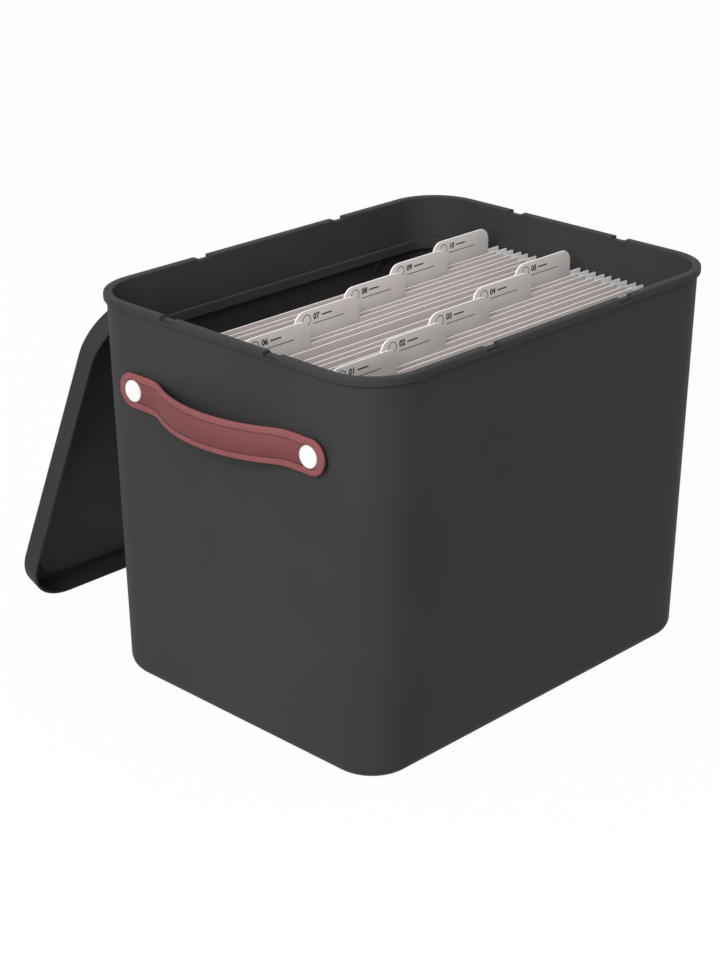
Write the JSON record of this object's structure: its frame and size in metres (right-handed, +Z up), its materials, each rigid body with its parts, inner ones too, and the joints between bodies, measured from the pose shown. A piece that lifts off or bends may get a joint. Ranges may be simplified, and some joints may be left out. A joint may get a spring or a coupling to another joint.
{
  "type": "portable file box",
  "caption": "Open-topped dark plastic box with hanging folders on an inner rail frame, riveted strap handles on its ends and a lift-off lid that leans against its back wall.",
  "frame": {"origin": "middle of the box's underside, on the surface that the box and the lid's lower edge stand on", "axes": "+Z up; +X along the box's length, from the end wall with the left handle to the end wall with the right one; +Y from the box's front long wall to its back long wall, towards the leaning lid"},
  "size_m": [0.4184, 0.4246, 0.3],
  "materials": {
    "charcoal_plastic": "fine matt grain",
    "strap": "dusty rose, embossed border",
    "rivet": "satin white",
    "steel": "plain zinc",
    "bar": "light grey lacquer on steel strip",
    "card": "uncoated warm grey card"
  },
  "bodies": {
    "box": {"box_body": "charcoal_plastic", "hanging_frame": "charcoal_plastic", "handle_strap_left": "strap", "handle_strap_right": "strap", "rivet_left_front": "rivet", "rivet_left_back": "rivet", "rivet_right_front": "rivet", "rivet_right_back": "rivet", "rivet_washer_left_front": "steel", "rivet_washer_left_back": "steel", "rivet_washer_right_front": "steel", "rivet_washer_right_back": "steel", "strap_spacer_left_front": "charcoal_plastic", "strap_spacer_left_back": "charcoal_plastic", "strap_spacer_right_front": "charcoal_plastic", "strap_spacer_right_back": "charcoal_plastic"},
    "lid": {"lid": "charcoal_plastic"},
    "folder_01": {"folder_01_sheet": "card", "folder_01_front_bar": "bar", "folder_01_rear_bar": "bar"},
    "folder_02": {"folder_02_sheet": "card", "folder_02_front_bar": "bar", "folder_02_rear_bar": "bar"},
    "folder_03": {"folder_03_sheet": "card", "folder_03_front_bar": "bar", "folder_03_rear_bar": "bar"},
    "folder_04": {"folder_04_sheet": "card", "folder_04_front_bar": "bar", "folder_04_rear_bar": "bar"},
    "folder_05": {"folder_05_sheet": "card", "folder_05_front_bar": "bar", "folder_05_rear_bar": "bar"},
    "folder_06": {"folder_06_sheet": "card", "folder_06_front_bar": "bar", "folder_06_rear_bar": "bar"},
    "folder_07": {"folder_07_sheet": "card", "folder_07_front_bar": "bar", "folder_07_rear_bar": "bar"},
    "folder_08": {"folder_08_sheet": "card", "folder_08_front_bar": "bar", "folder_08_rear_bar": "bar"},
    "folder_09": {"folder_09_sheet": "card", "folder_09_front_bar": "bar", "folder_09_rear_bar": "bar"},
    "folder_10": {"folder_10_sheet": "card", "folder_10_front_bar": "bar", "folder_10_rear_bar": "bar"}
  },
  "joints": [
    {"name": "lid_lift", "type": "slide", "parent": "box", "child": "lid", "axis": [0, 0.917, 0.399], "range_m": [0, 0.25]},
    {"name": "folder_01_lift", "type": "slide", "parent": "box", "child": "folder_01", "axis": [0, 0, 1], "range_m": [0, 0.28]},
    {"name": "folder_02_lift", "type": "slide", "parent": "box", "child": "folder_02", "axis": [0, 0, 1], "range_m": [0, 0.28]},
    {"name": "folder_03_lift", "type": "slide", "parent": "box", "child": "folder_03", "axis": [0, 0, 1], "range_m": [0, 0.28]},
    {"name": "folder_04_lift", "type": "slide", "parent": "box", "child": "folder_04", "axis": [0, 0, 1], "range_m": [0, 0.28]},
    {"name": "folder_05_lift", "type": "slide", "parent": "box", "child": "folder_05", "axis": [0, 0, 1], "range_m": [0, 0.28]},
    {"name": "folder_06_lift", "type": "slide", "parent": "box", "child": "folder_06", "axis": [0, 0, 1], "range_m": [0, 0.28]},
    {"name": "folder_07_lift", "type": "slide", "parent": "box", "child": "folder_07", "axis": [0, 0, 1], "range_m": [0, 0.28]},
    {"name": "folder_08_lift", "type": "slide", "parent": "box", "child": "folder_08", "axis": [0, 0, 1], "range_m": [0, 0.28]},
    {"name": "folder_09_lift", "type": "slide", "parent": "box", "child": "folder_09", "axis": [0, 0, 1], "range_m": [0, 0.28]},
    {"name": "folder_10_lift", "type": "slide", "parent": "box", "child": "folder_10", "axis": [0, 0, 1], "range_m": [0, 0.28]}
  ]
}
